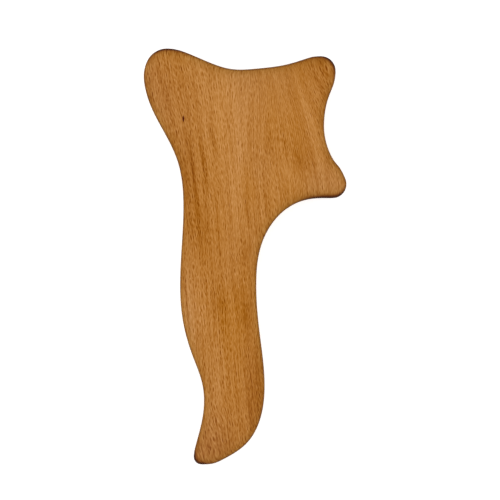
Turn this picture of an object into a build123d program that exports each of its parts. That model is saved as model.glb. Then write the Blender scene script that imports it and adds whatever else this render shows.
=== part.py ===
from build123d import *

import os
from math import cos, radians, sin

# Wooden gua sha scraper: one flat beech board with four rounded working lobes.
#
# The board lies on its back face. +Z is up, +Y runs from the handle's tip to the head, and the
# origin is under the middle of the board's outer box. All lengths are in millimetres.
#
# The outline runs clockwise, seen from above. Each lobe is an arc, and a free curve that is
# tangent to the lobes at both ends leads from each one to the next:
#
#   CROWN  head, upper left    ->  saddle for the neck and shoulder
#   BEAK   head, upper right   ->  shallow bay for the arm
#   SPUR   head, lower right   ->  hook under the head, front of the handle, heel
#   TIP    end of the handle   ->  bay above the tip, palm swell, nape of the head

BOARD_THICKNESS = 15.0
ROUND_OVER = 4.0  # radius that runs along both rims, all the way round

# Each lobe has a centre, a radius, and the angles in degrees where its arc starts and ends.
CROWN = {"centre": (-46.0, 109.5), "radius": 13.0, "start": 158, "end": 90}
BEAK = {"centre": (44.7, 109.4), "radius": 8.6, "start": 92, "end": 0}
SPUR = {"centre": (51.4, 42.6), "radius": 8.3, "start": 22, "end": -62}
TIP = {"centre": (-25.8, -118.0), "radius": 4.5, "start": -92, "end": -183}
LOBES = [CROWN, BEAK, SPUR, TIP]

# Points that each stretch of free curve passes through, in clockwise order.
SADDLE = [(-34.0, 119.8), (-21.0, 114.3), (-8.0, 110.4), (8.0, 110.8), (26.0, 113.5), (38.0, 117.2)]
ARM_BAY = [(52.6, 103.0), (49.3, 94.0), (46.6, 80.0), (47.8, 67.0), (52.7, 56.0)]
HOOK = [(48.0, 34.4), (36.0, 33.4), (26.0, 29.1), (16.0, 19.5), (8.8, 4.0)]
HANDLE_FRONT = [(6.6, -16.0), (8.0, -40.0), (11.2, -68.0)]
HEEL = [(9.9, -92.0), (0.0, -111.0), (-14.0, -120.1)]
TIP_BAY = [(-28.8, -110.0), (-24.7, -92.0), (-25.3, -75.0)]
PALM_SWELL = [(-31.0, -58.5), (-37.0, -36.0), (-38.0, -5.0)]
NAPE = [(-36.4, 30.0), (-39.8, 56.0), (-48.2, 74.0), (-56.2, 90.0), (-59.6, 103.5)]

# The free curve that follows each lobe.
FLANKS = [SADDLE, ARM_BAY, HOOK + HANDLE_FRONT + HEEL, TIP_BAY + PALM_SWELL + NAPE]


def lobe_arc(lobe):
    """The arc of one lobe, drawn clockwise from its start angle."""
    return CenterArc(lobe["centre"], lobe["radius"], lobe["start"], lobe["end"] - lobe["start"])


def clockwise_heading(angle):
    """Direction of clockwise travel at an angle, in degrees, round a circle."""
    return (sin(radians(angle)), -cos(radians(angle)))


def outline():
    """The closed outline of the board: alternating lobe arcs and free curves."""
    arcs = [lobe_arc(lobe) for lobe in LOBES]
    edges = []
    for i, points in enumerate(FLANKS):
        following = (i + 1) % len(LOBES)
        headings = [clockwise_heading(LOBES[i]["end"]), clockwise_heading(LOBES[following]["start"])]
        flank = Spline(arcs[i] @ 1, *points, arcs[following] @ 0, tangents=headings)
        edges += [arcs[i], flank]
    return Wire(edges)


def scraper_board():
    """The board, cut along its outline and rounded over along both rims."""
    blank = extrude(Face(outline()), amount=BOARD_THICKNESS, dir=(0, 0, 1))
    levels = blank.edges().group_by(Axis.Z)
    return fillet(levels[0] + levels[-1], ROUND_OVER)


os.makedirs("parts", exist_ok=True)
export_step(scraper_board(), "parts/scraper_board.step")
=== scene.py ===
"""Wooden gua sha scraper: a beech board with rounded rims, on a pale floor under soft light.

Everything is in metres, in the frame of the CAD model: the board lies on its back face, +Y runs
from the handle's tip to the head and +Z is up. The material works in millimetres.
"""
import math

import bmesh
import bpy
import numpy as np
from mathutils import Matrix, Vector, geometry, kdtree


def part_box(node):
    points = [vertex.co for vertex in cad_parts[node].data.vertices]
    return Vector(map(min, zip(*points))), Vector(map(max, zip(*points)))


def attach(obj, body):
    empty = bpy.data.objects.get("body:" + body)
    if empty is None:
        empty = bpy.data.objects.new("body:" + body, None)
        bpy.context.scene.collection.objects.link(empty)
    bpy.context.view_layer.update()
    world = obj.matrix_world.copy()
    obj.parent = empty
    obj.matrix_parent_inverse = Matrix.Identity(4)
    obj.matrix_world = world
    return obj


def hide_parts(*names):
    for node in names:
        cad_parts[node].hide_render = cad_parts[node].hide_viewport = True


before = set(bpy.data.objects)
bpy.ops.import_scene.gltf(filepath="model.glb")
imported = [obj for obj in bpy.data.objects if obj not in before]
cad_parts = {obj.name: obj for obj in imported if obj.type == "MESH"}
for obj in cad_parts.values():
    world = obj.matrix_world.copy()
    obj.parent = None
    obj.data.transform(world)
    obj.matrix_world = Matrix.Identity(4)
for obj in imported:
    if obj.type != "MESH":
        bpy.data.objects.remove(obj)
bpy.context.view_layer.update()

MM = 0.001

# Board, as in the CAD model.
NODE = "scraper_board"
BODY = "root"
ROUND_OVER = 4.0 * MM
LOW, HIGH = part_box(NODE)
BACK, FRONT = LOW.z, HIGH.z

# Mesh of the board.
RING_POINTS = 1200
CURVE_STEPS = 64  # steps between two points of the CAD mesh's outline, to even out the ring
ROUND_OVER_STEPS = 12
FACE_SPACING = 2.4 * MM
FACE_MARGIN = 1.1 * MM  # bare band between the round-over's inner ring and the face's own points
SAME_POINT = 0.001 * MM  # points of the CAD mesh that are closer than this are one
MERGE_DISTANCE = 0.000001 * MM  # the same for a face's points, which must all stay separate
INSIDE_BORDER = 1  # tells delaunay_2d_cdt to keep only the triangles inside the border

# Pin knots, in millimetres: x, y, half width, half length, darkness from 0 to 1. Their colour runs
# through to the back, and each has a pit in the front face.
PIN_KNOTS = [(-36.3, 80.9, 0.5, 1.7, 1.0), (-24.0, -37.5, 0.35, 1.1, 0.35)]
PIT_DEPTH = 0.3 * MM  # how far the darkest knot has shrunk below the face
PIT_RINGS = (0.35, 0.7, 1.05, 1.4, 1.9)  # rings of points round a knot, in its own half sizes
PIT_SIDES = 14  # points in each ring
PIT_CLEAR = 2.4  # the face's own points stay this far off, in the same measure


# ---------------------------------------------------------------- board


def wall_outline(node, height):
    """The board's outline as an ordered ring of points, read off the CAD mesh at one height."""
    bm = bmesh.new()
    bm.from_mesh(node.data)
    bmesh.ops.remove_doubles(bm, verts=bm.verts, dist=SAME_POINT)
    level = {v for v in bm.verts if abs(v.co.z - height) < SAME_POINT}
    first = min(level, key=lambda v: v.co.y)
    ring, previous = [first], None
    while True:
        around = [e.other_vert(ring[-1]) for e in ring[-1].link_edges]
        onward = [v for v in around if v in level and v is not previous]
        previous = ring[-1]
        if previous is not first and first in onward:
            break
        ring.append(onward[0])
    points = np.array([v.co.xy for v in ring])
    bm.free()
    x, y = points.T
    clockwise = np.sum(x * np.roll(y, -1) - np.roll(x, -1) * y) < 0
    return points if clockwise else points[::-1]


def smooth_ring(points, count):
    """Evenly spaced points on a closed cubic curve through a ring of points."""
    before, after = np.roll(points, 1, 0), np.roll(points, -1, 0)
    chord = np.linalg.norm(after - points, axis=1)[:, None]
    chord_before = np.roll(chord, 1, 0)
    slope = ((points - before) / chord_before * chord + (after - points) / chord * chord_before) / (
        chord + chord_before
    )
    fine = []
    for t in np.linspace(0, 1, CURVE_STEPS, endpoint=False):
        t2, t3 = t * t, t * t * t
        fine.append(
            (2 * t3 - 3 * t2 + 1) * points
            + (t3 - 2 * t2 + t) * slope * chord
            + (3 * t2 - 2 * t3) * after
            + (t3 - t2) * np.roll(slope, -1, 0) * chord
        )
    dense = np.stack(fine, axis=1).reshape(-1, 2)
    closed = np.vstack([dense, dense[:1]])
    travelled = np.concatenate([[0], np.cumsum(np.linalg.norm(np.diff(closed, axis=0), axis=1))])
    at = np.linspace(0, travelled[-1], count, endpoint=False)
    return np.stack([np.interp(at, travelled, closed[:, i]) for i in (0, 1)], axis=1)


def outward(ring):
    """Unit outward normals of a clockwise ring."""
    along = np.roll(ring, -1, 0) - np.roll(ring, 1, 0)
    normal = np.stack([-along[:, 1], along[:, 0]], axis=1)
    return normal / np.linalg.norm(normal, axis=1)[:, None]


def rim_profile():
    """(inset from the outline, height) from the back face, up over both round-overs, to the front."""
    turns = [math.pi / 2 * i / ROUND_OVER_STEPS for i in range(ROUND_OVER_STEPS + 1)]
    lower = [(ROUND_OVER * (1 - math.sin(a)), BACK + ROUND_OVER * (1 - math.cos(a))) for a in turns]
    upper = [(inset, BACK + FRONT - z) for inset, z in reversed(lower)]
    return lower + upper


def tree_of(points):
    """A tree that finds the nearest of some points on the board's plane."""
    tree = kdtree.KDTree(len(points))
    for i, (x, y) in enumerate(points):
        tree.insert((x, y, 0), i)
    tree.balance()
    return tree


def face_points(ring):
    """Points of a triangular lattice inside a ring, clear of it."""
    tree = tree_of(ring)
    rows = np.arange(LOW.y, HIGH.y, FACE_SPACING * math.sqrt(3) / 2)
    found = []
    for j, y in enumerate(rows):
        crossings = row_crossings(ring, y)
        for x in np.arange(LOW.x + (j % 2) * FACE_SPACING / 2, HIGH.x, FACE_SPACING):
            inside = np.sum(crossings < x) % 2 == 1
            if inside and tree.find((x, y, 0))[2] > FACE_MARGIN:
                found.append((x, y))
    return found


def row_crossings(ring, y):
    """Where a closed ring crosses a line of constant y."""
    a, b = ring, np.roll(ring, -1, 0)
    cross = (a[:, 1] < y) != (b[:, 1] < y)
    a, b = a[cross], b[cross]
    return a[:, 0] + (y - a[:, 1]) / (b[:, 1] - a[:, 1]) * (b[:, 0] - a[:, 0])


def knot_reach(x, y, knot):
    """How far a point lies from a pin knot, where 1 is the knot's own half size."""
    knot_x, knot_y, half_width, half_length, _ = knot
    return math.hypot((x / MM - knot_x) / half_width, (y / MM - knot_y) / half_length)


def pit_points():
    """Rings of points round each pin knot, close enough to shape its pit."""
    found = []
    for knot_x, knot_y, half_width, half_length, _ in PIN_KNOTS:
        for reach in PIT_RINGS:
            for i in range(PIT_SIDES):
                turn = math.tau * i / PIT_SIDES
                x = knot_x + reach * half_width * math.cos(turn)
                y = knot_y + reach * half_length * math.sin(turn)
                found.append((x * MM, y * MM))
    return found


def pit_depth(x, y):
    """How far the front face is sunk at a point, where a pin knot has shrunk."""
    return sum(PIT_DEPTH * knot[-1] * math.exp(-knot_reach(x, y, knot) ** 2) for knot in PIN_KNOTS)


def fill_face(bm, ring_verts, interior, facing_up):
    """Fills a ring of the mesh with a triangulated face that holds the interior points."""
    count = len(ring_verts)
    flat = [Vector(v.co.xy) for v in ring_verts] + [Vector(point[:2]) for point in interior]
    border = [(i, (i + 1) % count) for i in range(count)]
    _, _, triangles, *_ = geometry.delaunay_2d_cdt(flat, border, [], INSIDE_BORDER, MERGE_DISTANCE)
    verts = list(ring_verts) + [bm.verts.new(point) for point in interior]
    for triangle in triangles:
        a, b, c = (flat[i] for i in triangle)
        counter_clockwise = (b - a).cross(c - a) > 0
        order = triangle if counter_clockwise == facing_up else reversed(triangle)
        bm.faces.new([verts[i] for i in order])


# Scorched spots on the rim: x, y, reach and darkness, all lengths in millimetres.
SCORCHES = [
    (-46, 122, 12, 1.2),
    (0, 110, 30, 0.35),
    (36, 116, 12, 0.35),
    (51, 115, 8, 1.3),
    (53, 34, 9, 1.5),
    (41, 33.5, 9, 0.8),
    (-28.5, -121, 6, 2.0),
]
SCORCH_DEPTH = 1.7  # how far in from the outline a scorch reaches

# How far the finish soaks in from the sawn ends of the fibres, in millimetres. This darkening is partly
# real and partly painted shade towards the board's edges.
SOAK_AND_SHADE_DEPTH = 7.0


def mark_rim(mesh, ring, normal):
    """Stores what the material needs to know about the rim on each vertex.

    inset is the distance in from the outline in millimetres, scorch is how scorched the spot is, and the
    last is how much finish has soaked in from the ends of the fibres, partly real and partly painted
    shade towards the edges, both from 0 to 1.
    """
    tree = tree_of(ring)
    inset, scorch, soak_and_shade = (
        mesh.attributes.new(name, "FLOAT", "POINT") for name in ("inset", "scorch", "soak_and_shade")
    )
    for i, vertex in enumerate(mesh.vertices):
        x, y = vertex.co.xy
        _, nearest, distance = tree.find((x, y, 0))
        depth = distance / MM
        burn = sum(
            darkness * math.exp(-((x / MM - sx) ** 2 + (y / MM - sy) ** 2) / reach**2)
            for sx, sy, reach, darkness in SCORCHES
        )
        inset.data[i].value = depth
        scorch.data[i].value = min(1.0, burn * math.exp(-((depth / SCORCH_DEPTH) ** 2)))
        # Finish soaked in from the end grain, which also paints shade towards the board's edges.
        soak_and_shade.data[i].value = abs(normal[nearest][1]) * math.exp(-depth / SOAK_AND_SHADE_DEPTH)


def make_board():
    """The board as one closed mesh, which stands for the CAD solid."""
    ring = smooth_ring(wall_outline(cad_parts[NODE], BACK + ROUND_OVER), RING_POINTS)
    normal = outward(ring)
    bm = bmesh.new()
    rings = []
    for inset, z in rim_profile():
        rings.append([bm.verts.new((x, y, z)) for x, y in ring - normal * inset])
    for lower, upper in zip(rings, rings[1:]):
        for i in range(RING_POINTS):
            j = (i + 1) % RING_POINTS
            bm.faces.new((lower[i], upper[i], upper[j], lower[j]))
    lattice = face_points(ring - normal * ROUND_OVER)
    clear = [p for p in lattice if all(knot_reach(*p, knot) > PIT_CLEAR for knot in PIN_KNOTS)]
    fill_face(bm, rings[0], [(x, y, BACK) for x, y in lattice], facing_up=False)
    front = [(x, y, FRONT - pit_depth(x, y)) for x, y in clear + pit_points()]
    fill_face(bm, rings[-1], front, facing_up=True)
    bmesh.ops.recalc_face_normals(bm, faces=bm.faces)
    mesh = bpy.data.meshes.new("beech_board")
    bm.to_mesh(mesh)
    bm.free()
    mesh.shade_smooth()
    mark_rim(mesh, ring, normal)
    board = bpy.data.objects.new("beech_board", mesh)
    bpy.context.scene.collection.objects.link(board)
    return board


# ---------------------------------------------------------------- beech

# Where the board was cut from the log, in millimetres: the pith ran along Y, below the back face.
PITH_X = 26.0
PITH_DEPTH = 75.0
RING_WIDTH = 3.0
RING_PHASE = 0.25  # in rings

# The grain sways: how far, in millimetres, and over what size of wood.
SWAY = (9, 0, 9)
SWAY_SIZE = (38, 110, 38)

# The grain drifts to the left up the board: by LEAN per millimetre, and ever faster away from the
# grip, where it is straightest, by BEND times the cube of the distance in millimetres.
LEAN = 0.085
BEND = 3e-6
STRAIGHTEST_Y = -20.0

# The grain crowds together at the top of the head, about a line on the right, and opens out below:
# x and y of the most crowded place, half width and half length in millimetres, and strength.
CROWDING = (20, 120, 28, 50, 1.0)

# Places where the growth rings bulge towards the front face, which draws nested arches in the
# grain: x and y of the middle, half width, half length and height, in millimetres.
BULGES = [(30, 30, 16, 28, 3.0), (18.5, 40, 8, 24, 4.0)]

# Streaks of figure, broad ones and then thin ones, in millimetres: x and y of the middle, half
# width, half length, lightness added.
STREAKS = [
    (-13, 88, 9, 30, 0.13),
    (-7, 44, 6, 26, 0.12),
    (-33, -34, 7, 30, 0.07),
    (-14, -80, 8, 26, -0.03),
    (26, 45, 12, 8, 0.04),
    (-34, 44, 6, 34, -0.17),
    (-27, 14, 7, 10, -0.10),
    (0, 1, 4, 10, -0.18),
    (-15, -29, 4, 10, -0.12),
    (0, -34, 4, 9, -0.13),
    (8, -78, 7, 30, -0.26),
    (-20, -113, 18, 16, -0.22),
    (33, 56, 5, 8, -0.15),
    (50, 86, 6, 30, -0.15),
    (-50, 104, 10, 20, -0.08),
    (46, 112, 9, 10, -0.16),
    (4, -98, 7, 18, -0.10),
    (-34.5, 46, 0.9, 24, -0.15),
    (-30, 45, 1.2, 30, -0.20),
    (-23.5, 48, 1.2, 26, -0.20),
    (-18.5, 67, 1.2, 9, -0.24),
    (-8.8, 68, 0.9, 26, -0.18),
]

# Patches that are pinker than the rest, or less pink where the amount is negative, in millimetres:
# x and y of the middle, half width, half length, amount.
PINK_PATCHES = [
    (-20, -114, 18, 20, 0.42),
    (-50, 96, 12, 26, 0.4),
    (50, 42, 12, 10, 0.22),
    (-3, 110, 10, 16, 0.2),
    (-34, -40, 7, 50, 0.3),
    (20, 80, 13, 18, -0.2),
    (-8, -38, 9, 26, -0.2),
    (3, 40, 6, 12, -0.2),
]

# One pale streak crosses the rest, on the right of the head: where it starts and ends and its half
# width, in millimetres, and the lightness added.
CROSS_STREAK = ((29, 101), (42, 72), 2.2, 0.13)

# The lightness of plain wood, 0 to 1, before any figure is added to it.
PLAIN_LIGHTNESS = 0.64

# Rays: spacing (round the log, along it, out from the pith), half size (round and along), how dark
# the faintest is next to the darkest, and the weight of the layer. All lengths in millimetres.
FLECK_LAYERS = [
    ((1.4, 5.2, 9.0), (0.30, 2.4), 0.15, 1.0),
    ((0.95, 4.2, 7.0), (0.24, 2.0), 0.3, 0.9),
]
FLECK_DARKNESS = 0.32
PALE_EDGE = 0.5  # how pale a fleck's edges are, next to how dark its core is

# Distances from a fleck's middle, where 1 is its half size: where its dark core fades out, where its
# pale edge comes in, and where that goes again.
CORE_FADE = (0.2, 1.0)
EDGE_RISE = (0.7, 1.3)
EDGE_FALL = (1.3, 2.5)

# Streaks that follow the grain: size (round the log, along it, out from the pith) in millimetres,
# detail of the noise, and how far they swing the lightness.
FIBRES = ((0.45, 2.8, 1.2), 0.0, 0.45)
STRANDS = ((0.5, 45.0, 3.0), 0.0, 0.50)
YEARS = ((60.0, 90.0, 0.5), 2.0, 0.15)
DECADES = ((60.0, 120.0, 1.7), 1.0, 0.14)

# Late wood: the shares of a year's ring over which it darkens and over which it ends, and how dark
# it gets in a strong year.
LATE_WOOD_RISE = (0.45, 0.92)
LATE_WOOD_END = (0.93, 1.0)
LATE_WOOD_DARKNESS = 0.13

# The noise that makes some years stronger than others: its size in millimetres and its detail, its
# value in the weakest and in the strongest years, and how dark the weakest are next to the strongest.
YEAR_NOISE = ((60.0, 80.0, 3.5), 1.0)
YEAR_NOISE_RANGE = (0.35, 0.65)
WEAKEST_YEAR = 0.1

# Soft clouds of tone and hue: size in millimetres, and how far they swing lightness and pinkness.
CLOUD_SIZE = (22, 80, 22)
CLOUD_SHADE = 0.16
CLOUD_PINK = 0.8
PINK_SATURATION = -0.08  # how the saturation changes where the wood is one step pinker

# The finish: roughness in the hollows and on the crests of the grain, the relief at those crests,
# how much it shines, how deep the grain is and how strongly it shows.
ROUGHNESS = (0.62, 0.50)
CREST = 0.7
GLOSS = 0.03
GRAIN_DEPTH = 0.04 * MM
GRAIN_STRENGTH = 0.2
FLECK_HOLLOW = 0.6  # how deep a fleck lies, next to how high the fibres stand

# The wood's colours from its darkest flecks to its palest streaks: position and colour on screen.
WOOD_COLOURS = [
    (0.0, (140, 72, 8)),
    (0.25, (163, 95, 21)),
    (0.5, (186, 119, 47)),
    (0.75, (204, 140, 71)),
    (1.0, (220, 158, 93)),
]


def linear(red, green, blue):
    """A colour picked on screen, 0 to 255, as linear light with full alpha."""
    channels = (c / 255 for c in (red, green, blue))
    return (*(c / 12.92 if c <= 0.04045 else ((c + 0.055) / 1.055) ** 2.4 for c in channels), 1.0)


KNOT_COLOUR = linear(84, 14, 6)
KNOT_EDGE = (0.12, 0.6)  # a knot's colour comes in between these shares of the darkest knot


class Nodes:
    """Short forms for adding nodes to a material and joining them. Values may be sockets."""

    def __init__(self, tree):
        self.tree = tree

    def add(self, kind, inputs=None, **settings):
        node = self.tree.nodes.new("ShaderNode" + kind)
        for name, value in settings.items():
            setattr(node, name, value)
        for name, value in (inputs or {}).items():
            if isinstance(value, bpy.types.NodeSocket):
                self.tree.links.new(value, node.inputs[name])
            else:
                node.inputs[name].default_value = value
        return node

    def maths(self, operation, *values):
        return self.add("Math", dict(enumerate(values)), operation=operation).outputs[0]

    def vector_maths(self, operation, *values):
        return self.add("VectorMath", dict(enumerate(values)), operation=operation).outputs[0]

    def total(self, *values):
        result = values[0]
        for value in values[1:]:
            result = self.maths("ADD", result, value)
        return result

    def vector(self, x, y, z):
        return self.add("CombineXYZ", {"X": x, "Y": y, "Z": z}).outputs[0]

    def noise(self, at, detail=2.0):
        return self.add("TexNoise", {"Vector": at, "Scale": 1.0, "Detail": detail}).outputs

    def swing(self, value, amount):
        """A 0 to 1 value as a swing of this amount about 0."""
        return self.maths("MULTIPLY", self.maths("SUBTRACT", value, 0.5), amount)

    def rescale(self, value, low, high, to_low, to_high, smooth=False):
        kind = "SMOOTHSTEP" if smooth else "LINEAR"
        inputs = {"Value": value, "From Min": low, "From Max": high, "To Min": to_low, "To Max": to_high}
        return self.add("MapRange", inputs, interpolation_type=kind).outputs["Result"]

    def spot(self, across, along, x, y, half_width, half_length):
        """1 at a point, falling off smoothly as a long spot with these half widths."""
        a = self.maths("DIVIDE", self.maths("SUBTRACT", across, x), half_width)
        b = self.maths("DIVIDE", self.maths("SUBTRACT", along, y), half_length)
        square = self.maths("ADD", self.maths("MULTIPLY", a, a), self.maths("MULTIPLY", b, b))
        return self.maths("EXPONENT", self.maths("MULTIPLY", square, -1.0))

    def ramp(self, value, stops):
        """A colour ramp through (position, screen colour) stops."""
        node = self.add("ValToRGB", {"Fac": value})
        elements = node.color_ramp.elements
        while len(elements) < len(stops):
            elements.new(1.0)
        for element, (position, colour) in zip(elements, stops):
            element.position = position
            element.color = linear(*colour)
        return node.outputs["Color"]

    def blend_colours(self, amount, below, above):
        """One colour over another, by an amount from 0 to 1."""
        node = self.add("Mix", data_type="RGBA")
        sockets = {s.identifier: s for s in node.inputs}
        self.tree.links.new(amount, sockets["Factor_Float"])
        self.tree.links.new(below, sockets["A_Color"])
        sockets["B_Color"].default_value = above
        return next(s for s in node.outputs if s.identifier == "Result_Color")


def drift(y):
    """How far the grain has drifted to the left at a height y."""
    return LEAN * y + BEND * (y - STRAIGHTEST_Y) ** 3


def upright(n, x, y):
    """The x of a point with the drift of the grain taken out: the same all along a grain line."""
    off = n.maths("SUBTRACT", y, STRAIGHTEST_Y)
    cube = n.maths("MULTIPLY", n.maths("MULTIPLY", off, off), off)
    return n.maths("MULTIPLY_ADD", cube, BEND, n.maths("MULTIPLY_ADD", y, LEAN, x))


def log_place(n, place):
    """Where a point of the board was in the log, in millimetres: (arc, along, radius)."""
    slow = n.noise(n.vector_maths("DIVIDE", place, SWAY_SIZE))["Color"]
    sway = n.vector_maths("MULTIPLY", n.vector_maths("SUBTRACT", slow, (0.5, 0.5, 0.5)), SWAY)
    x, y, z = n.add("SeparateXYZ", {0: n.vector_maths("ADD", place, sway)}).outputs
    middle_x, middle_y, half_width, half_length, strength = CROWDING
    grain_x = upright(n, x, y)
    aside = n.maths("SUBTRACT", grain_x, middle_x + drift(middle_y))
    nearness = n.spot(aside, y, 0, middle_y, half_width, half_length)
    crowded = n.maths("MULTIPLY", nearness, strength)
    across = n.maths("MULTIPLY_ADD", aside, crowded, n.maths("SUBTRACT", grain_x, PITH_X))
    above = n.maths("ADD", z, PITH_DEPTH)
    squares = n.maths("MULTIPLY_ADD", across, across, n.maths("MULTIPLY", above, above))
    bulge = n.total(*[
        n.maths("MULTIPLY", n.spot(x, y, *spread), height) for *spread, height in BULGES
    ])
    radius = n.maths("SUBTRACT", n.maths("SQRT", squares), bulge)
    arc = n.maths("MULTIPLY", n.maths("ARCTAN2", across, above), PITH_DEPTH)
    return arc, y, radius


def in_steps(n, log, size):
    """A place in the log, counted in steps of this size along each of its three directions."""
    return n.vector(*(n.maths("DIVIDE", value, step) for value, step in zip(log, size)))


def ray_flecks(n, log, spacing, half_size, faintest):
    """Rays as thin plates: short dashes on the faces, flakes on the long sides, lines on the ends.

    spacing is across, along and out from the pith, and half_size is across and along, all in
    millimetres. Each fleck is a spindle with pointed ends and pale edges, as dark as its own
    chance, from faintest to 1.
    """
    cell = in_steps(n, log, spacing)
    voronoi = n.add("TexVoronoi", {"Vector": cell, "Scale": 1.0, "Randomness": 1.0}).outputs
    reach = (spacing[0] / half_size[0], spacing[1] / half_size[1], 0)
    offset = n.vector_maths("MULTIPLY", n.vector_maths("SUBTRACT", cell, voronoi["Position"]), reach)
    aside, lengthwise, _ = n.add("SeparateXYZ", {0: offset}).outputs
    spindle = n.maths("MULTIPLY_ADD", lengthwise, lengthwise, n.maths("ABSOLUTE", aside))
    chance = n.add("SeparateColor", {0: voronoi["Color"]}).outputs[0]
    core = n.rescale(spindle, *CORE_FADE, 1.0, 0.0, smooth=True)
    edge = n.maths(
        "MULTIPLY",
        n.rescale(spindle, *EDGE_RISE, 0.0, PALE_EDGE, smooth=True),
        n.rescale(spindle, *EDGE_FALL, 1.0, 0.0, smooth=True),
    )
    mark = n.maths("SUBTRACT", core, edge)
    return n.maths("MULTIPLY", mark, n.rescale(chance, 0.0, 1.0, faintest, 1.0))


def grain_noise(n, log, size, detail):
    """Noise that is drawn out along the grain, with features of this size in the log."""
    return n.noise(in_steps(n, log, size), detail)["Fac"]


def growth_rings(n, log):
    """Thin dark lines where each year's late wood ends, stronger in some years than in others."""
    _, _, radius = log
    ring = n.maths("FRACT", n.maths("MULTIPLY_ADD", radius, 1 / RING_WIDTH, RING_PHASE))
    line = n.maths(
        "MULTIPLY",
        n.rescale(ring, *LATE_WOOD_RISE, 0.0, 1.0, smooth=True),
        n.rescale(ring, *LATE_WOOD_END, 1.0, 0.0, smooth=True),
    )
    year = grain_noise(n, log, *YEAR_NOISE)
    return n.maths("MULTIPLY", line, n.rescale(year, *YEAR_NOISE_RANGE, WEAKEST_YEAR, 1.0))


def spots(n, place, marks):
    """Long soft spots that lean with the grain, each (x, y, half width, half length, amount), summed."""
    x, y, _ = n.add("SeparateXYZ", {0: place}).outputs
    grain_x = upright(n, x, y)
    return n.total(*[
        n.maths("MULTIPLY", n.spot(grain_x, y, mark_x + drift(mark_y), mark_y, *size), amount)
        for mark_x, mark_y, *size, amount in marks
    ])


def cross_streak(n, place):
    """The pale streak that runs at a slant across the grain."""
    (x0, y0), (x1, y1), half_width, lightness = CROSS_STREAK
    x, y, _ = n.add("SeparateXYZ", {0: place}).outputs
    slope = (x1 - x0) / (y1 - y0)
    aside = n.maths("SUBTRACT", x, n.maths("MULTIPLY", y, slope))
    streak = n.spot(aside, y, x0 - y0 * slope, (y0 + y1) / 2, half_width, (y0 - y1) / 2)
    return n.maths("MULTIPLY", streak, lightness)


# How far in from the outline the rim's darkening reaches, in millimetres: a narrow dark line, partly
# toasting of the routed edge and partly painted shade on the round-over, and a broader band of painted
# shade beside it.
RIM_REACH = (0.95, 3.2)

# How much of the light is lost on end grain, on the narrow dark rim line (partly toasting, partly
# painted shade), in the band of painted shade beside it, where the finish has soaked in (partly painted
# shade towards the edges), and in the middle of a scorch.
END_GRAIN_LOSS = 0.12
TOASTED_AND_SHADED_LOSS = 0.62
PAINTED_RIM_SHADE_LOSS = 0.18
SOAKED_AND_SHADED_LOSS = 0.12
SCORCHED_LOSS = 0.84

# How fast red, green and blue go as the wood is darkened, by toasting and by painted shade on the rim,
# and as it is scorched to brown and black.
TOASTED_AND_SHADED_TINT = (0.95, 1.0, 1.9)
SCORCHED_TINT = (0.70, 1.0, 1.2)


def rim_darkening(n):
    """How much of each channel is left after the rims' toasting and painted shade, end grain and
    scorches, 0 to 1.
    """
    facing = n.add("SeparateXYZ", {0: n.add("NewGeometry").outputs["Normal"]}).outputs
    inset, scorch, soak_and_shade = (
        n.add("Attribute", attribute_name=name).outputs["Fac"] for name in ("inset", "scorch", "soak_and_shade")
    )
    square = n.maths("MULTIPLY", inset, inset)
    # Painted shade on the rim: a narrow dark line, partly toasting of the routed edge, and a broader
    # band of painted shade beside it.
    toasted_and_shaded, painted_rim_shade = (
        n.maths("EXPONENT", n.maths("MULTIPLY", square, -1 / reach**2)) for reach in RIM_REACH
    )
    losses = (
        n.maths("MULTIPLY", n.maths("ABSOLUTE", facing["Y"]), END_GRAIN_LOSS),
        n.maths("MULTIPLY", toasted_and_shaded, TOASTED_AND_SHADED_LOSS),
        n.maths("MULTIPLY", painted_rim_shade, PAINTED_RIM_SHADE_LOSS),
        # Soaked finish, partly painted shade towards the edges.
        n.maths("MULTIPLY", soak_and_shade, SOAKED_AND_SHADED_LOSS),
    )
    kept = 1.0
    for loss in losses:
        kept = n.maths("MULTIPLY", kept, n.maths("SUBTRACT", 1.0, loss))
    unburnt = n.maths("MULTIPLY_ADD", scorch, -SCORCHED_LOSS, 1.0)
    return n.vector(*(
        n.maths("MULTIPLY", n.maths("POWER", kept, toast_and_shade), n.maths("POWER", unburnt, burn))
        for toast_and_shade, burn in zip(TOASTED_AND_SHADED_TINT, SCORCHED_TINT)
    ))


def knotted(n, place, colour):
    """The wood's colour with the pin knots over it."""
    x, y, _ = n.add("SeparateXYZ", {0: place}).outputs
    knots = n.total(*[
        n.maths("MULTIPLY", n.spot(x, y, *spread), darkness) for *spread, darkness in PIN_KNOTS
    ])
    return n.blend_colours(n.rescale(knots, *KNOT_EDGE, 0.0, 1.0, smooth=True), colour, KNOT_COLOUR)


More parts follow.
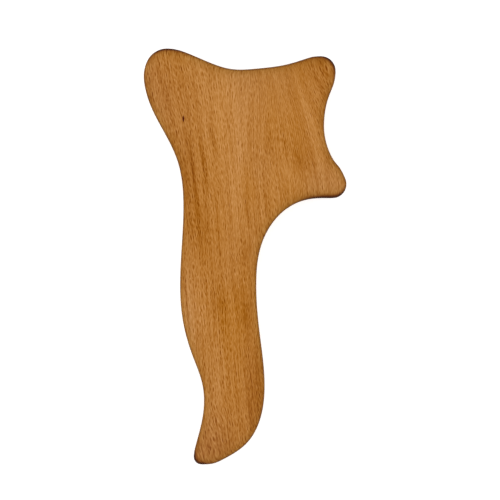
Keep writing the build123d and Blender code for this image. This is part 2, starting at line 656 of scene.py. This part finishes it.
def beech():
    """Flat-sawn beech under a satin clear finish, solid all the way through the board."""
    material = bpy.data.materials.new("beech_satin")
    material.use_nodes = True
    material.node_tree.nodes.clear()
    n = Nodes(material.node_tree)

    place = n.vector_maths("MULTIPLY", n.add("TexCoord").outputs["Object"], (1 / MM, 1 / MM, 1 / MM))
    log = log_place(n, place)
    flecks = n.total(*[
        n.maths("MULTIPLY", ray_flecks(n, log, spacing, half_size, faintest), weight)
        for spacing, half_size, faintest, weight in FLECK_LAYERS
    ])
    fibres, strands, years, decades = (
        grain_noise(n, log, size, detail) for size, detail, _ in (FIBRES, STRANDS, YEARS, DECADES)
    )
    clouds = n.noise(n.vector_maths("DIVIDE", place, CLOUD_SIZE))["Fac"]
    shade = n.total(
        PLAIN_LIGHTNESS,
        n.swing(fibres, FIBRES[-1]),
        n.swing(strands, STRANDS[-1]),
        n.swing(years, YEARS[-1]),
        n.swing(decades, DECADES[-1]),
        n.swing(clouds, CLOUD_SHADE),
        n.maths("MULTIPLY", growth_rings(n, log), -LATE_WOOD_DARKNESS),
        n.maths("MULTIPLY", flecks, -FLECK_DARKNESS),
        spots(n, place, STREAKS),
        cross_streak(n, place),
    )
    pink = n.total(spots(n, place, PINK_PATCHES), n.swing(clouds, CLOUD_PINK))
    wood = n.add("HueSaturation", {
        "Saturation": n.maths("MULTIPLY_ADD", pink, PINK_SATURATION, 1.0),
        "Color": n.ramp(shade, WOOD_COLOURS),
    }).outputs["Color"]
    stained = n.vector_maths("MULTIPLY", wood, rim_darkening(n))

    relief = n.maths("SUBTRACT", fibres, n.maths("MULTIPLY", flecks, FLECK_HOLLOW))
    bump = n.add("Bump", {"Height": relief, "Strength": GRAIN_STRENGTH, "Distance": GRAIN_DEPTH})
    surface = n.add("BsdfPrincipled", {
        "Base Color": knotted(n, place, stained),
        "Roughness": n.rescale(relief, 0.0, CREST, *ROUGHNESS),
        "Specular IOR Level": GLOSS,
        "Normal": bump.outputs["Normal"],
    })
    n.add("OutputMaterial", {"Surface": surface.outputs["BSDF"]})
    return material


# ---------------------------------------------------------------- stage

CAMERA_HEIGHT = 1.8
VIEW_WIDTH = 295.1 * MM  # how much of the board's plane the picture spans
BOARD_OFFSET = Vector((2.9 * MM, 3.8 * MM))  # from the middle of the board to the middle of the view
SENSOR = 36.0  # in millimetres, like the lens
FLOOR_HALF_SIZE = 4.0
FLOOR_COLOUR = (0.96, 0.96, 0.96, 1.0)
FLOOR_GLOW = 0.6  # the floor gives off some light of its own, which washes out the shadow
WHITE = (1.0, 1.0, 1.0, 1.0)

# Soft lights: name, place, side and power in watts.
LIGHTS = [
    ("key", (-1.3, 1.0, 1.3), 2.0, 14.0),
    ("fill", (1.4, -1.1, 1.3), 2.0, 10.0),
]
HORIZON_STRENGTH = 1.2
ZENITH_STRENGTH = 0.3


def make_camera():
    """A long lens straight above the board, with the head at the top of the picture."""
    data = bpy.data.cameras.new("camera")
    middle = (LOW + HIGH) / 2
    data.sensor_width = SENSOR
    data.lens = SENSOR * (CAMERA_HEIGHT - middle.z) / VIEW_WIDTH
    camera = bpy.data.objects.new("camera", data)
    camera.location = (middle.x + BOARD_OFFSET.x, middle.y + BOARD_OFFSET.y, CAMERA_HEIGHT)
    bpy.context.scene.collection.objects.link(camera)
    bpy.context.scene.camera = camera


def make_floor():
    """A plain pale floor under the board."""
    half = FLOOR_HALF_SIZE
    mesh = bpy.data.meshes.new("floor")
    corners = [(-half, -half, BACK), (half, -half, BACK), (half, half, BACK), (-half, half, BACK)]
    mesh.from_pydata(corners, [], [(0, 1, 2, 3)])
    material = bpy.data.materials.new("floor")
    material.use_nodes = True
    paint = material.node_tree.nodes["Principled BSDF"]
    paint.inputs["Base Color"].default_value = FLOOR_COLOUR
    paint.inputs["Roughness"].default_value = 1.0
    paint.inputs["Specular IOR Level"].default_value = 0.0
    paint.inputs["Emission Color"].default_value = WHITE
    paint.inputs["Emission Strength"].default_value = FLOOR_GLOW
    mesh.materials.append(material)
    floor = bpy.data.objects.new("floor", mesh)
    bpy.context.scene.collection.objects.link(floor)


def area_light(name, place, side, power):
    """A square soft light that faces the board."""
    data = bpy.data.lights.new(name, "AREA")
    data.shape = "SQUARE"
    data.size = side
    data.energy = power
    light = bpy.data.objects.new(name, data)
    light.location = place
    light.rotation_mode = "QUATERNION"
    light.rotation_quaternion = (-Vector(place)).to_track_quat("-Z", "Y")
    bpy.context.scene.collection.objects.link(light)


def make_world():
    """A white surround, brightest at the horizon and dimmer overhead."""
    world = bpy.data.worlds.new("studio")
    world.use_nodes = True
    n = Nodes(world.node_tree)
    height = n.add("SeparateXYZ", {0: n.add("TexCoord").outputs["Generated"]}).outputs["Z"]
    glow = n.rescale(height, 0.0, 1.0, HORIZON_STRENGTH, ZENITH_STRENGTH)
    sky = world.node_tree.nodes["Background"]
    sky.inputs["Color"].default_value = WHITE
    world.node_tree.links.new(glow, sky.inputs["Strength"])
    bpy.context.scene.world = world


board = make_board()
board.data.materials.append(beech())
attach(board, BODY)
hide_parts(NODE)

make_floor()
make_camera()
for light in LIGHTS:
    area_light(*light)
make_world()
bpy.context.scene.view_settings.view_transform = "Standard"
